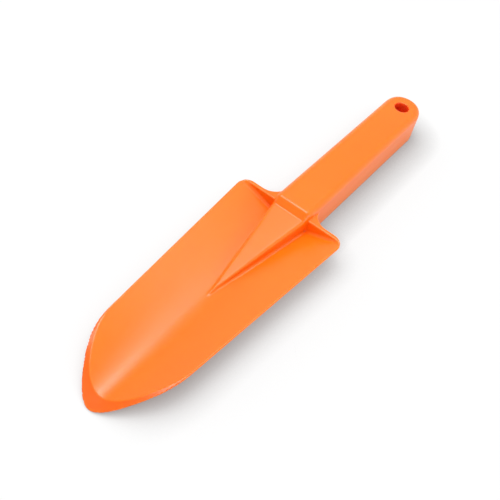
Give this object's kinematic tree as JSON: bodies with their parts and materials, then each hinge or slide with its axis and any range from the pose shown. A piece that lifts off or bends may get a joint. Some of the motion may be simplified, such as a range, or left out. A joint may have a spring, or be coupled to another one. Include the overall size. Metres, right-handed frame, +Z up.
{
  "type": "hand trowel",
  "caption": "Moulded plastic hand trowel: long pointed scoop blade with a raised tang rib, and a straight flat-topped handle with a hang hole.",
  "frame": {"origin": "middle of the overall length and width, on the ground plane the trowel lies on", "axes": "+X from the handle towards the blade tip, +Y across the blade, +Z up out of the open side of the scoop"},
  "size_m": [0.3, 0.0708, 0.0214],
  "materials": {
    "orange_plastic": "satin moulded polypropylene, evenly coloured through"
  },
  "bodies": {
    "root": {"trowel_moulding": "orange_plastic"}
  },
  "joints": []
}
